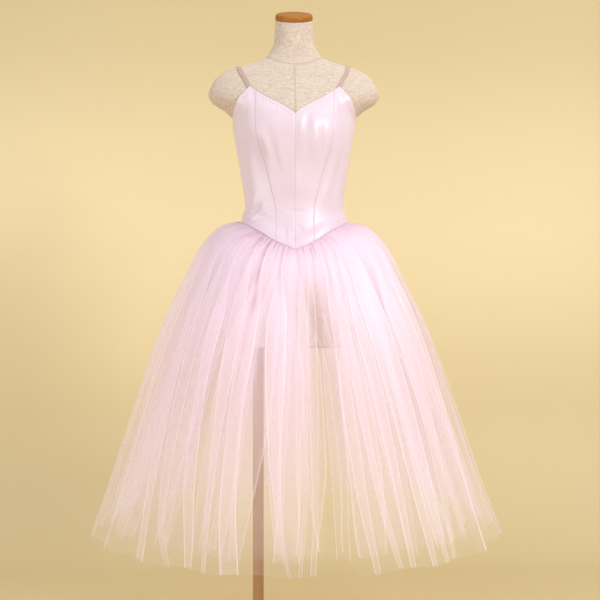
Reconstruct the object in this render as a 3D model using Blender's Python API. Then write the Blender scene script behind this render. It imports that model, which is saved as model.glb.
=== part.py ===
"""A ballet tutu on a limbless dress form with a one-pole stand.

The tutu has a pointed satin bodice cut in eight panels, two narrow shoulder straps and a long
bell-shaped skirt of four gathered layers of tulle. Metres, +Z up. The origin is on the floor under the
middle of the form, and the front of the form faces -Y. Left and right are the wearer's, so left is +X.
"""

import math

import bmesh
import bpy
from mathutils import Vector

# Gaps and walls
SEAM_GAP = 0.0003  # between pieces that touch
SATIN = 0.0015  # the bodice's wall
TULLE = 0.0011  # a skirt layer's wall

# The dress form: one row for each level section, from the floor up.
# height, half width, depth in front of the middle, depth behind it
FORM_ROWS = (
    (0.712, 0.1500, 0.098, 0.112),
    (0.800, 0.1600, 0.104, 0.122),
    (0.880, 0.1480, 0.104, 0.112),
    (0.950, 0.1280, 0.097, 0.094),
    (1.000, 0.1120, 0.088, 0.081),
    (1.030, 0.1090, 0.086, 0.080),
    (1.076, 0.1130, 0.092, 0.086),
    (1.123, 0.1216, 0.101, 0.094),
    (1.170, 0.1290, 0.110, 0.101),
    (1.216, 0.1372, 0.114, 0.105),
    (1.235, 0.1392, 0.112, 0.106),
    (1.258, 0.1600, 0.104, 0.106),
    (1.280, 0.1915, 0.093, 0.104),
    (1.294, 0.1988, 0.086, 0.101),
    (1.326, 0.1875, 0.069, 0.091),
    (1.3515, 0.1575, 0.057, 0.080),
    (1.3694, 0.0980, 0.049, 0.070),
    (1.379, 0.0750, 0.047, 0.066),
    (1.391, 0.0600, 0.046, 0.063),
    (1.419, 0.0468, 0.046, 0.059),
    (1.447, 0.0451, 0.046, 0.057),
    (1.472, 0.0436, 0.046, 0.055),
)
FORM_SIDES = 40
ROWS_APART = 0.024  # rows of the table further apart than this get one more between them
NECK_SLOPE = math.radians(21.8)  # the neck's top falls towards the front
NECK_SLOPE_FROM = 1.385  # height where the level sections begin to tilt
BUST_X, BUST_Z = 0.080, 1.190
BUST_RISE, BUST_WIDE, BUST_TALL = 0.013, 0.046, 0.050
CAP_THICK = 0.013
CAP_PROFILE = ((0.0, 1.0), (0.55, 1.0), (0.88, 0.96), (1.0, 0.88))  # share of thickness, of outline

# The stand
POLE_X = -0.083
POLE_RADIUS = 0.0125
POLE_DEEP = 0.060  # how far the pole goes up into the form
POLE_SIDES = 24
BASE_RADIUS = 0.185
BASE_THICK = 0.009
BASE_CHAMFER = 0.0015
BASE_SIDES = 48

# The bodice's edges: angle round the body from the front in degrees, height
BODICE_TOP = (
    (0.0, 1.2345),
    (9.3, 1.252),
    (17.1, 1.268),
    (23.2, 1.284),
    (30.4, 1.3025),
    (34.5, 1.2890),
    (44.0, 1.2720),
    (55.0, 1.2590),
    (68.0, 1.2460),
    (88.0, 1.2320),
    (120.0, 1.222),
    (150.0, 1.208),
    (180.0, 1.200),
)
BODICE_FOOT = (
    (0.0, 0.9335),
    (18.0, 0.9515),
    (36.0, 0.973),
    (60.0, 0.991),
    (90.0, 1.001),
    (130.0, 0.993),
    (180.0, 0.974),
)
# The long seams between the panels: height, distance from the middle plane
FRONT_SEAM = (
    (0.950, 0.0400),
    (1.026, 0.0427),
    (1.070, 0.0525),
    (1.125, 0.0660),
    (1.165, 0.0780),
    (1.210, 0.0860),
    (1.300, 0.0880),
)
BACK_SEAM = (
    (0.970, 0.0430),
    (1.030, 0.0450),
    (1.120, 0.0620),
    (1.220, 0.0780),
)
SIDE_SEAM_ANGLE = math.radians(86)
BODICE_ROWS = (0, 0.04, 0.11, 0.2, 0.31, 0.42, 0.53, 0.64, 0.74, 0.83, 0.92, 1)  # shares of the height
BODICE_EASE = 0.0030  # from the form to the satin's inside
BUST_EASE = 0.0022  # more than that over the bust
FOOT_EASE = 0.0066  # more than that at the foot, over the tops of the skirt's layers
FOOT_BAND = 0.012  # the height of the part with all of the foot's ease
FOOT_RISE = 0.034  # the height above the foot where it ends

# The straps: angle in the side plane from straight ahead, over the shoulder to the back; distance from
# the middle plane on the wearer's left and on the right
STRAP_ROUTE = (
    (36.5, 0.0985, 0.1010),
    (50.0, 0.1090, 0.1120),
    (68.0, 0.1220, 0.1250),
    (90.0, 0.1270, 0.1300),
    (112.0, 0.1210, 0.1240),
    (140.0, 0.1020, 0.1050),
    (170.0, 0.0830, 0.0840),
    (188.0, 0.0750, 0.0750),
)
STRAP_CENTRE_Z = 1.25
STRAP_WIDE, STRAP_THICK, STRAP_LIFT = 0.008, 0.0011, 0.0016
STRAP_STEPS = 22

# The skirt's outline from under the bodice's foot to the hem, for the crests of the outer layer:
# share of the cloth's length, radius and height at the sides and back, radius and height in front
SKIRT_PROFILE = (
    (0.00, 0.126, 0.998, 0.104, 0.931),
    (0.07, 0.165, 0.996, 0.137, 0.921),
    (0.16, 0.212, 0.952, 0.182, 0.880),
    (0.30, 0.262, 0.860, 0.236, 0.795),
    (0.45, 0.310, 0.757, 0.290, 0.700),
    (0.62, 0.364, 0.601, 0.352, 0.560),
    (0.80, 0.4175, 0.437, 0.408, 0.420),
    (1.00, 0.468, 0.295, 0.458, 0.295),
)
SKIRT_RINGS = (0.07, 0.18, 0.42, 0.72, 1.0)  # shares of a layer's own length, below its seam
AHEAD_POWER = 1.5  # how fast the front's outline gives way to the side's, round the skirt
SEAM_FADE_POWER = 5  # how fast the waist seam's own shape gives way to the table's, down the skirt
SKIRT_LEAN = 0.007  # the hem stands this much further out on the wearer's left, and less on the right
# Its deepest folds: the angle of each crest from the front in degrees, the depth of the trough after it
FOLDS = (
    (-176.0, 0.016),
    (-157.0, 0.020),
    (-136.0, 0.015),
    (-117.0, 0.019),
    (-98.0, 0.014),
    (-79.0, 0.018),
    (-60.0, 0.020),
    (-41.0, 0.022),
    (-21.0, 0.017),
    (-2.0, 0.020),
    (19.0, 0.022),
    (37.0, 0.018),
    (56.0, 0.020),
    (77.0, 0.015),
    (97.0, 0.019),
    (118.0, 0.016),
    (140.0, 0.020),
    (162.0, 0.017),
)
FOLD_STEPS = 4  # points from one crest to the next
FOLD_GROWTH = 1.2  # power of the share of the length by which the folds deepen
# The layers, outermost first: name, share of the outer layer's length, distance inwards at the hem
LAYERS = (
    ("tulle_outer", 1.000, 0.000),
    ("tulle_second", 0.957, 0.014),
    ("tulle_third", 0.945, 0.026),
    ("tulle_inner", 0.928, 0.038),
)
LAYER_SPREAD = 0.6  # power of the share of the length by which the layers part
LAYER_STACK = 0.0017  # from one layer to the next in the waist seam
INNERMOST_EASE = 0.0015  # from the form to the innermost layer's middle
SEAM_TUCK = 0.008  # how far the skirt goes up under the bodice
BELOW_FOOT = 0.0028  # how far under the bodice's foot the outer layer turns outwards

# Small steps that the curves and places are worked out with
SLOPE_STEP = 0.02  # share of the skirt's length on each side of a point, for its slope
NORMAL_STEP = 0.04  # radians on each side of a strap's point, for its normal
RAY_REACH = 0.3  # longer than any way out of the form from the straps' centre
RAY_HALVINGS = 40
PLACE_ROUNDS = 12
FOOT_ROUNDS = 4
CUTTER_BELOW = 0.05  # how far the bore's cutter stands out of the form's foot
SMOOTH_UNDER = math.radians(40)  # edges that turn by more than this stay sharp

# Materials: colour, roughness, metallic
SATIN_PINK = ("satin_pink", (0.86, 0.70, 0.74), 0.35, 0.0)
TULLE_PINK = ("tulle_pink", (0.90, 0.76, 0.80), 0.80, 0.0)
STRAP_PINK = ("strap_pink", (0.78, 0.60, 0.55), 0.55, 0.0)
LINEN = ("linen", (0.68, 0.60, 0.50), 0.90, 0.0)
CAP_WOOD = ("cap_wood", (0.50, 0.20, 0.05), 0.40, 0.0)
BROWN_METAL = ("brown_metal", (0.30, 0.17, 0.10), 0.40, 0.3)


def clear_scene():
    for ob in list(bpy.data.objects):
        bpy.data.objects.remove(ob, do_unlink=True)


def material(spec):
    name, colour, roughness, metallic = spec
    found = bpy.data.materials.get(name)
    if found:
        return found
    made = bpy.data.materials.new(name)
    made.use_nodes = True
    shader = made.node_tree.nodes["Principled BSDF"]
    shader.inputs["Base Color"].default_value = (*colour, 1.0)
    shader.inputs["Roughness"].default_value = roughness
    shader.inputs["Metallic"].default_value = metallic
    return made


# Curves through the tables


def straight(rows, key, column=1):
    """The table's column at key, on straight runs between its rows."""
    if key <= rows[0][0]:
        return rows[0][column]
    for low, high in zip(rows, rows[1:]):
        if key <= high[0]:
            share = (key - low[0]) / (high[0] - low[0])
            return low[column] + share * (high[column] - low[column])
    return rows[-1][column]


def smooth(rows, key, column=1):
    """The table's column at key, on a smooth curve that never overshoots its rows."""
    keys = [row[0] for row in rows]
    values = [row[column] for row in rows]
    rises = [(values[i + 1] - values[i]) / (keys[i + 1] - keys[i]) for i in range(len(keys) - 1)]
    leans = [rises[0]]
    for before, after in zip(rises, rises[1:]):
        same_way = before * after > 0
        leans.append(2 * before * after / (before + after) if same_way else 0.0)
    leans.append(rises[-1])
    key = min(max(key, keys[0]), keys[-1])
    i = max(k for k in range(len(keys) - 1) if keys[k] <= key)
    step = keys[i + 1] - keys[i]
    u = (key - keys[i]) / step
    return (
        (2 * u**3 - 3 * u**2 + 1) * values[i]
        + (u**3 - 2 * u**2 + u) * step * leans[i]
        + (3 * u**2 - 2 * u**3) * values[i + 1]
        + (u**3 - u**2) * step * leans[i + 1]
    )


def ease_in(share):
    """0 below 0 and 1 above 1, smooth between."""
    share = min(max(share, 0.0), 1.0)
    return share * share * (3 - 2 * share)


# Meshes


def add_object(name, bm, spec):
    bmesh.ops.recalc_face_normals(bm, faces=bm.faces)
    mesh = bpy.data.meshes.new(name)
    bm.to_mesh(mesh)
    bm.free()
    ob = bpy.data.objects.new(name, mesh)
    bpy.context.scene.collection.objects.link(ob)
    mesh.materials.append(material(spec))
    mesh.shade_smooth()
    mesh.set_sharp_from_angle(angle=SMOOTH_UNDER)
    return ob


def bridge(bm, lower, upper, closed=True):
    """Quads between two rows of vertices."""
    count = len(lower)
    for i in range(count if closed else count - 1):
        j = (i + 1) % count
        bm.faces.new((lower[i], lower[j], upper[j], upper[i]))


def stacked_rings(name, rings, spec):
    """One solid through closed rings of points, with flat ends."""
    bm = bmesh.new()
    rows = [[bm.verts.new(point) for point in ring] for ring in rings]
    for lower, upper in zip(rows, rows[1:]):
        bridge(bm, lower, upper)
    bm.faces.new(rows[0])
    bm.faces.new(rows[-1])
    return add_object(name, bm, spec)


def cloth_wall(name, outside, inside, spec, tube):
    """One closed wall between two grids of points. tube says that each row closes on itself."""
    bm = bmesh.new()
    outer = [[bm.verts.new(point) for point in row] for row in outside]
    inner = [[bm.verts.new(point) for point in row] for row in inside]
    for grid in (outer, inner):
        for lower, upper in zip(grid, grid[1:]):
            bridge(bm, lower, upper, tube)
    bridge(bm, outer[0], inner[0], tube)
    bridge(bm, outer[-1], inner[-1], tube)
    if not tube:
        for end in (0, -1):
            bridge(bm, [row[end] for row in outer], [row[end] for row in inner], False)
    return add_object(name, bm, spec)


# The dress form


def body_sizes(z):
    return tuple(smooth(FORM_ROWS, z, column) for column in (1, 2, 3))


def body_point(angle, z, out=0.0):
    """A point of the form's level section at z, moved out by out. angle is 0 in front and grows to +X."""
    half, front, back = body_sizes(z)
    across, ahead = math.sin(angle), math.cos(angle)
    depth = front if ahead > 0 else back
    x, y = half * across, -depth * ahead
    beside = (abs(x) - BUST_X) / BUST_WIDE
    above = (z - BUST_Z) / BUST_TALL
    y -= BUST_RISE * max(ahead, 0.0) * math.exp(-beside**2 - above**2)
    normal = Vector((across / half, -ahead / depth, 0.0)).normalized()
    return Vector((x, y, z)) + normal * out


def neck_tilt(point):
    """Tilts the sections of the neck towards the slope of its top."""
    share = ease_in((point.z - NECK_SLOPE_FROM) / (FORM_ROWS[-1][0] - NECK_SLOPE_FROM))
    return point + Vector((0.0, 0.0, share * math.tan(NECK_SLOPE) * point.y))


def form_ring(z):
    turns = [2 * math.pi * i / FORM_SIDES for i in range(FORM_SIDES)]
    return [neck_tilt(body_point(turn, z)) for turn in turns]


def form_heights():
    """The table's heights, with one more between the rows that stand far apart."""
    heights = [row[0] for row in FORM_ROWS]
    between = [(a + b) / 2 for a, b in zip(heights, heights[1:]) if b - a > ROWS_APART]
    return sorted(heights + between)


def build_form():
    body = stacked_rings("form_body", [form_ring(z) for z in form_heights()], LINEN)
    bore = round_bar("pole_bore_cutter", POLE_RADIUS + SEAM_GAP, -CUTTER_BELOW, POLE_DEEP + SEAM_GAP)
    bore.location.z = FORM_ROWS[0][0]
    bore.hide_render = True
    bore.display_type = "WIRE"
    cut = body.modifiers.new("pole_bore", "BOOLEAN")
    cut.operation = "DIFFERENCE"
    cut.object = bore


def build_neck_cap():
    """The wooden cap repeats the neck's top outline, parallel to its slope, and narrows to a soft edge."""
    rim = form_ring(FORM_ROWS[-1][0])
    middle = sum(rim, Vector()) / len(rim)
    up = Vector((0.0, -math.sin(NECK_SLOPE), math.cos(NECK_SLOPE)))
    rings = []
    for lift_share, outline_share in CAP_PROFILE:
        lift = up * (SEAM_GAP + lift_share * CAP_THICK)
        rings.append([middle + (point - middle) * outline_share + lift for point in rim])
    stacked_rings("form_neck_cap", rings, CAP_WOOD)


# The stand


def round_bar(name, radius, bottom, top):
    bm = bmesh.new()
    bmesh.ops.create_cone(
        bm, cap_ends=True, segments=POLE_SIDES, radius1=radius, radius2=radius, depth=top - bottom
    )
    bmesh.ops.translate(bm, verts=bm.verts, vec=(0.0, 0.0, (top + bottom) / 2))
    ob = add_object(name, bm, BROWN_METAL)
    ob.location.x = POLE_X
    return ob


def build_stand():
    base = [
        (BASE_RADIUS - BASE_CHAMFER, 0.0),
        (BASE_RADIUS, BASE_CHAMFER),
        (BASE_RADIUS, BASE_THICK - BASE_CHAMFER),
        (BASE_RADIUS - BASE_CHAMFER, BASE_THICK),
    ]
    turns = [2 * math.pi * i / BASE_SIDES for i in range(BASE_SIDES)]
    rings = [[(r * math.sin(t), -r * math.cos(t), z) for t in turns] for r, z in base]
    stacked_rings("stand_base", rings, BROWN_METAL)
    round_bar("stand_pole", POLE_RADIUS, BASE_THICK + SEAM_GAP, FORM_ROWS[0][0] + POLE_DEEP)


# The bodice


def foot_height(angle):
    return smooth(BODICE_FOOT, math.degrees(abs(angle)))


def top_height(angle):
    return straight(BODICE_TOP, math.degrees(abs(angle)))


def bodice_ease(angle, z):
    near_foot = ease_in((foot_height(angle) + FOOT_RISE - z) / (FOOT_RISE - FOOT_BAND))
    at_bust = math.exp(-(((z - BUST_Z) / BUST_TALL) ** 2)) * max(math.cos(angle), 0.0)
    return BODICE_EASE + FOOT_EASE * near_foot + BUST_EASE * at_bust


def front_middle(z):
    return 0.0


def back_middle(z):
    return math.pi


def front_seam(z):
    return math.asin(smooth(FRONT_SEAM, z) / body_sizes(z)[0])


def back_seam(z):
    return math.pi - math.asin(smooth(BACK_SEAM, z) / body_sizes(z)[0])


def side_seam(z):
    return SIDE_SEAM_ANGLE


# name, first seam, last seam, shares across at which the panel's columns stand
PANELS = (
    ("bodice_front", front_middle, front_seam, (0, 0.27, 0.53, 0.78, 1)),
    ("bodice_side_front", front_seam, side_seam, (0, 0.066, 0.26, 0.5, 0.75, 1)),
    ("bodice_side_back", side_seam, back_seam, (0, 0.25, 0.5, 0.75, 1)),
    ("bodice_back", back_seam, back_middle, (0, 0.33, 0.67, 1)),
)


def panel_place(first, last, across, up):
    """The angle and height of a panel's point, from its shares across and up."""
    z = (BODICE_TOP[-1][1] + BODICE_FOOT[-1][1]) / 2
    for _ in range(PLACE_ROUNDS):
        half_gap = SEAM_GAP / 2 / body_sizes(z)[0]
        start, end = first(z) + half_gap, last(z) - half_gap
        angle = start + across * (end - start)
        low, high = foot_height(angle), top_height(angle)
        z = low + up * (high - low)
    return angle, z


def build_panel(name, side, first, last, columns):
    grids = ([], [])
    for up in BODICE_ROWS:
        places = [panel_place(first, last, across, up) for across in columns]
        for grid, wall in zip(grids, (SATIN, 0.0)):
            points = [body_point(angle, z, bodice_ease(angle, z) + wall) for angle, z in places]
            grid.append([Vector((side * p.x, p.y, p.z)) for p in points])
    cloth_wall(name, grids[0], grids[1], SATIN_PINK, tube=False)


def build_bodice():
    for name, first, last, columns in PANELS:
        build_panel(name + "_left", 1, first, last, columns)
        build_panel(name + "_right", -1, first, last, columns)


# The straps


def inside_form(point):
    if not FORM_ROWS[0][0] < point.z < FORM_ROWS[-1][0]:
        return False
    half, front, back = body_sizes(point.z)
    if abs(point.x) >= half:
        return False
    edge = body_point(math.asin(point.x / half), point.z)
    depth = -edge.y if point.y < 0 else back * math.sqrt(1 - (point.x / half) ** 2)
    return abs(point.y) < depth


def strap_point(turn, x):
    """Where a ray in the side plane at x leaves the form."""
    start = Vector((x, 0.0, STRAP_CENTRE_Z))
    way = Vector((0.0, -math.cos(turn), math.sin(turn)))
    near, far = 0.0, RAY_REACH
    for _ in range(RAY_HALVINGS):
        middle = (near + far) / 2
        if inside_form(start + way * middle):
            near = middle
        else:
            far = middle
    return start + way * near


def strap_normal(turn, x):
    """The form's outward normal where strap_point lies."""
    reach = STRAP_WIDE / 2
    along = strap_point(turn + NORMAL_STEP, x) - strap_point(turn - NORMAL_STEP, x)
    across = strap_point(turn, x + reach) - strap_point(turn, x - reach)
    return across.cross(along).normalized()


def build_strap(name, side, column):
    turns = [row[0] for row in STRAP_ROUTE]
    route, normals = [], []
    for i in range(STRAP_STEPS + 1):
        turn = turns[0] + (turns[-1] - turns[0]) * i / STRAP_STEPS
        x = smooth(STRAP_ROUTE, turn, column)
        route.append(strap_point(math.radians(turn), x))
        normals.append(strap_normal(math.radians(turn), x))
    rings = []
    for i, (point, out) in enumerate(zip(route, normals)):
        ahead = (route[min(i + 1, STRAP_STEPS)] - route[max(i - 1, 0)]).normalized()
        across = ahead.cross(out).normalized()
        corners = []
        for half, lift in ((-1, 0), (1, 0), (1, STRAP_THICK), (-1, STRAP_THICK)):
            corners.append(point + across * half * STRAP_WIDE / 2 + out * (STRAP_LIFT + lift))
        rings.append([Vector((side * p.x, p.y, p.z)) for p in corners])
    stacked_rings(name, rings, STRAP_PINK)


# The skirt


def waist_radius(turn, z):
    """From the middle to the form's outline at z, in the plan direction turn."""
    half, front, back = body_sizes(z)
    depth = front if math.cos(turn) > 0 else back
    return 1 / math.hypot(math.sin(turn) / half, math.cos(turn) / depth)


def foot_at(turn):
    """The height of the bodice's foot in the plan direction turn."""
    z = BODICE_FOOT[-1][1]
    for _ in range(FOOT_ROUNDS):
        half, front, back = body_sizes(z)
        depth = front if math.cos(turn) > 0 else back
        z = foot_height(math.atan2(math.sin(turn) / half, math.cos(turn) / depth))
    return z


def fold_depth(turn):
    """How far the cloth falls back from its crests in the plan direction turn, at the hem."""
    degrees = math.degrees(turn)
    crests = FOLDS + ((FOLDS[0][0] + 360.0, 0.0),)
    if degrees < FOLDS[0][0]:
        degrees += 360.0
    for (crest, depth), (following, _) in zip(crests, crests[1:]):
        if crest <= degrees <= following:
            share = (degrees - crest) / (following - crest)
            return depth * (1 - math.cos(2 * math.pi * share)) / 2
    return 0.0


def skirt_outline(turn, share):
    """Radius and height of the outer layer's crests."""
    ahead = max(math.cos(turn), 0.0) ** AHEAD_POWER
    side_r, side_z, front_r, front_z = (smooth(SKIRT_PROFILE, share, c) for c in (1, 2, 3, 4))
    radius = side_r + ahead * (front_r - side_r) + SKIRT_LEAN * math.sin(turn) * share**2
    height = side_z + ahead * (front_z - side_z)
    begin = SKIRT_PROFILE[0]
    foot = foot_at(turn)
    own_r = waist_radius(turn, foot) + BODICE_EASE + FOOT_EASE - LAYER_STACK
    own_z = foot - BELOW_FOOT
    fade = (1 - share) ** SEAM_FADE_POWER
    radius += fade * (own_r - begin[1] - ahead * (begin[3] - begin[1]))
    height += fade * (own_z - begin[2] - ahead * (begin[4] - begin[2]))
    return radius, height


def skirt_point(turn, share, inwards):
    """A point (radius, height) on a layer that lies inwards of the outer one, square to its outline."""
    radius, height = skirt_outline(turn, share)
    back, forth = max(share - SLOPE_STEP, 0.0), min(share + SLOPE_STEP, 1.0)
    r0, z0 = skirt_outline(turn, back)
    r1, z1 = skirt_outline(turn, forth)
    length = math.hypot(r1 - r0, z1 - z0)
    radius -= fold_depth(turn) * share**FOLD_GROWTH
    return radius + inwards * (z1 - z0) / length, height - inwards * (r1 - r0) / length


def layer_section(turn, order, length, inwards):
    """The layer's middle line in the plan direction turn, from its top edge under the bodice to its hem."""
    foot = foot_at(turn)
    stack = LAYER_STACK * (len(LAYERS) - 1 - order)
    tucked = waist_radius(turn, foot + SEAM_TUCK) + INNERMOST_EASE + stack
    drop = BELOW_FOOT + LAYER_STACK * order
    turning = waist_radius(turn, foot - drop) + INNERMOST_EASE + stack
    section = [(tucked, foot + SEAM_TUCK), (turning, foot - drop)]
    for ring in SKIRT_RINGS:
        share = ring * length
        gap = LAYER_STACK * order + (inwards - LAYER_STACK * order) * share**LAYER_SPREAD
        section.append(skirt_point(turn, share, gap))
    return section


def section_normals(section):
    """Outward unit normals of a line of (radius, height), shared between its stretches."""
    normals = []
    for i in range(len(section)):
        r0, z0 = section[max(i - 1, 0)]
        r1, z1 = section[min(i + 1, len(section) - 1)]
        length = math.hypot(r1 - r0, z1 - z0)
        normals.append(((z0 - z1) / length, (r1 - r0) / length))
    return normals


def skirt_turns():
    """Plan directions at the crests of the folds, at their troughs and between."""
    crests = [row[0] for row in FOLDS] + [FOLDS[0][0] + 360.0]
    turns = []
    for crest, following in zip(crests, crests[1:]):
        for step in range(FOLD_STEPS):
            turns.append(math.radians(crest + (following - crest) * step / FOLD_STEPS))
    return turns


def build_layer(order, name, length, inwards):
    columns = ([], [])
    for turn in skirt_turns():
        turn = math.remainder(turn, 2 * math.pi)
        section = layer_section(turn, order, length, inwards)
        for column, move in zip(columns, (TULLE / 2, -TULLE / 2)):
            points = []
            for (r, z), (nr, nz) in zip(section, section_normals(section)):
                r, z = r + nr * move, z + nz * move
                points.append(Vector((r * math.sin(turn), -r * math.cos(turn), z)))
            column.append(points)
    outside, inside = (list(zip(*column)) for column in columns)
    cloth_wall(name, outside, inside, TULLE_PINK, tube=True)


def build_skirt():
    for order, (name, length, inwards) in enumerate(LAYERS):
        build_layer(order, name, length, inwards)


clear_scene()
build_form()
build_neck_cap()
build_stand()
build_bodice()
build_strap("strap_left", 1, 1)
build_strap("strap_right", -1, 2)
build_skirt()
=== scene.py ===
"""The looks of a ballet tutu on a dress form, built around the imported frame.

Metres, +Z up, the front faces -Y. Left and right are the wearer's, so left is +X.
"""

import math

import bpy
import numpy as np
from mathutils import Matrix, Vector
from mathutils.bvhtree import BVHTree


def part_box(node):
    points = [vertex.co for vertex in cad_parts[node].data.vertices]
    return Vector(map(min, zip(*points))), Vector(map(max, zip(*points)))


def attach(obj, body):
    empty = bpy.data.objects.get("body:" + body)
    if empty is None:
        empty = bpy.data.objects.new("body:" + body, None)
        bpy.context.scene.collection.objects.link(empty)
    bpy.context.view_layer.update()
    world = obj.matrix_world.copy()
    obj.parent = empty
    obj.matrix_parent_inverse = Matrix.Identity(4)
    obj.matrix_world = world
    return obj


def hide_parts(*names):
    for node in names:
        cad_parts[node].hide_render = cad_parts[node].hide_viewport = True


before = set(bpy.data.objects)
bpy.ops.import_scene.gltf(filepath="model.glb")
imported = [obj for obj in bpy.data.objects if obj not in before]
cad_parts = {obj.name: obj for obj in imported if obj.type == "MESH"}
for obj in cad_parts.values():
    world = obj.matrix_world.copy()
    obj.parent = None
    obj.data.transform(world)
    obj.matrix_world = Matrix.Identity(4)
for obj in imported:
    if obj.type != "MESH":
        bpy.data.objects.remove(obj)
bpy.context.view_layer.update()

# The dress form: height, half width, depth in front of the middle, depth behind it
FORM_ROWS = (
    (0.712, 0.15, 0.098, 0.112), (0.8, 0.16, 0.104, 0.122), (0.88, 0.148, 0.104, 0.112),
    (0.95, 0.128, 0.097, 0.094), (1, 0.112, 0.088, 0.081), (1.03, 0.109, 0.086, 0.08),
    (1.076, 0.113, 0.092, 0.086), (1.123, 0.1216, 0.101, 0.094), (1.17, 0.129, 0.11, 0.101),
    (1.216, 0.1372, 0.114, 0.105), (1.235, 0.1392, 0.112, 0.106), (1.258, 0.16, 0.104, 0.106),
    (1.28, 0.1915, 0.093, 0.104), (1.294, 0.1988, 0.086, 0.101), (1.326, 0.1875, 0.069, 0.091),
    (1.3515, 0.1575, 0.057, 0.08), (1.3694, 0.098, 0.049, 0.07), (1.379, 0.075, 0.047, 0.066),
    (1.391, 0.06, 0.046, 0.063), (1.419, 0.0468, 0.046, 0.059), (1.447, 0.0451, 0.046, 0.057),
    (1.472, 0.0436, 0.046, 0.055),
)
FORM_FOOT, FORM_TOP = FORM_ROWS[0][0], FORM_ROWS[-1][0]
NECK_SLOPE = math.radians(21.8)
NECK_SLOPE_FROM = 1.385
BUST_X, BUST_Z = 0.080, 1.190
BUST_RISE, BUST_WIDE, BUST_TALL = 0.013, 0.046, 0.050
# The seam round the neck's base: its height in front, its curve there and its rise behind
NECK_SEAM_FRONT, NECK_SEAM_CURVE, NECK_SEAM_RISE = 1.3575, 5.6, 0.019
# Distances from a seam at which the form has points, on both sides of it
GROOVE_AT = (-0.005, -0.0028, -0.0016, -0.0008, 0.0, 0.0008, 0.0016, 0.0028, 0.005)
GROOVE_DEEP, GROOVE_WIDE = 0.0009, 0.0012
SEAM_SHADE = 0.42  # how far a seam's groove takes its darker tone, on the form and on the satin
NARROWEST = 0.09  # a distance round the form is turned into an angle with no smaller radius

# The bodice's edges: angle from the front in degrees, height
BODICE_TOP = (
    (0, 1.2345), (9.3, 1.252), (17.1, 1.268), (23.2, 1.284), (30.4, 1.3025), (34.5, 1.289),
    (44, 1.272), (55, 1.259), (68, 1.246), (88, 1.232), (120, 1.222), (150, 1.208), (180, 1.2),
)
BODICE_FOOT = (
    (0, 0.9335), (18, 0.9515), (36, 0.973), (60, 0.991), (90, 1.001), (130, 0.993), (180, 0.974),
)
# The long seams: height, distance from the middle plane
FRONT_SEAM = (
    (0.95, 0.04), (1.026, 0.0427), (1.07, 0.0525), (1.125, 0.066), (1.165, 0.078), (1.21, 0.086),
    (1.3, 0.088),
)
BACK_SEAM = ((0.970, 0.0430), (1.030, 0.0450), (1.120, 0.0620), (1.220, 0.0780))
SIDE_SEAM_ANGLE = math.radians(86)
SATIN = 0.0015
BODICE_EASE, BUST_EASE, FOOT_EASE = 0.0030, 0.0022, 0.0066
FOOT_BAND, FOOT_RISE = 0.012, 0.034

# The skirt: share of the length, radius and height at the sides and back, radius and height in front
SKIRT_PROFILE = (
    (0, 0.126, 0.998, 0.104, 0.931), (0.07, 0.165, 0.991, 0.137, 0.917),
    (0.16, 0.212, 0.952, 0.182, 0.88), (0.3, 0.262, 0.86, 0.236, 0.795),
    (0.45, 0.31, 0.757, 0.29, 0.7), (0.62, 0.364, 0.601, 0.352, 0.56),
    (0.8, 0.4175, 0.437, 0.408, 0.42), (1, 0.468, 0.295, 0.458, 0.295),
)
SKIRT_LEAN = 0.007
# The deepest folds, shared by all layers: angle of the crest in degrees, depth of the trough after it
FOLDS = (
    (-176, 0.016), (-157, 0.02), (-136, 0.015), (-117, 0.019), (-98, 0.014), (-79, 0.018),
    (-60, 0.02), (-41, 0.022), (-21, 0.017), (-2, 0.02), (19, 0.022), (37, 0.018), (56, 0.02),
    (77, 0.015), (97, 0.019), (118, 0.016), (140, 0.02), (162, 0.017),
)
LAYER_STACK, INNERMOST_EASE = 0.0017, 0.0015
SEAM_TUCK, BELOW_FOOT, SEAM_EDGE = 0.008, 0.0003, 0.0013
# name, share of the outer layer's length, distance inwards at the hem, folds to each turn
LAYERS = (
    ("tulle_outer", 1.000, 0.000, 31),
    ("tulle_second", 0.957, 0.014, 25),
    ("tulle_third", 0.945, 0.026, 22),
    ("tulle_inner", 0.928, 0.038, 20),
)
TULLE_CUT = (4.4, 0.80)  # width and length of each layer's cloth


# Curves through the tables


class Smooth:
    """A smooth curve through a table's rows that never overshoots them."""

    def __init__(self, rows, column=1):
        self.keys = np.array([row[0] for row in rows], float)
        self.values = np.array([row[column] for row in rows], float)
        rises = np.diff(self.values) / np.diff(self.keys)
        before, after = rises[:-1], rises[1:]
        same_way = before * after > 0
        total = np.where(same_way, before + after, 1.0)
        inner = np.where(same_way, 2 * before * after / total, 0.0)
        self.leans = np.concatenate([rises[:1], inner, rises[-1:]])

    def __call__(self, at):
        at = np.clip(np.asarray(at, float), self.keys[0], self.keys[-1])
        i = np.clip(np.searchsorted(self.keys, at, side="right") - 1, 0, len(self.keys) - 2)
        step = self.keys[i + 1] - self.keys[i]
        u = (at - self.keys[i]) / step
        return (
            (2 * u**3 - 3 * u**2 + 1) * self.values[i]
            + (u**3 - 2 * u**2 + u) * step * self.leans[i]
            + (3 * u**2 - 2 * u**3) * self.values[i + 1]
            + (u**3 - u**2) * step * self.leans[i + 1]
        )


def straight(rows, at):
    return np.interp(at, *zip(*rows))


def ease_in(share):
    share = np.clip(share, 0.0, 1.0)
    return share * share * (3 - 2 * share)


def bump(distance, width):
    return np.exp(-((np.asarray(distance) / width) ** 2))


HALF, FRONT, BACK = (Smooth(FORM_ROWS, column) for column in (1, 2, 3))
FRONT_SEAM_X, BACK_SEAM_X = Smooth(FRONT_SEAM), Smooth(BACK_SEAM)
FOOT_HEIGHT = Smooth(BODICE_FOOT)
PROFILE = [Smooth(SKIRT_PROFILE, column) for column in (1, 2, 3, 4)]


# Meshes


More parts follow.
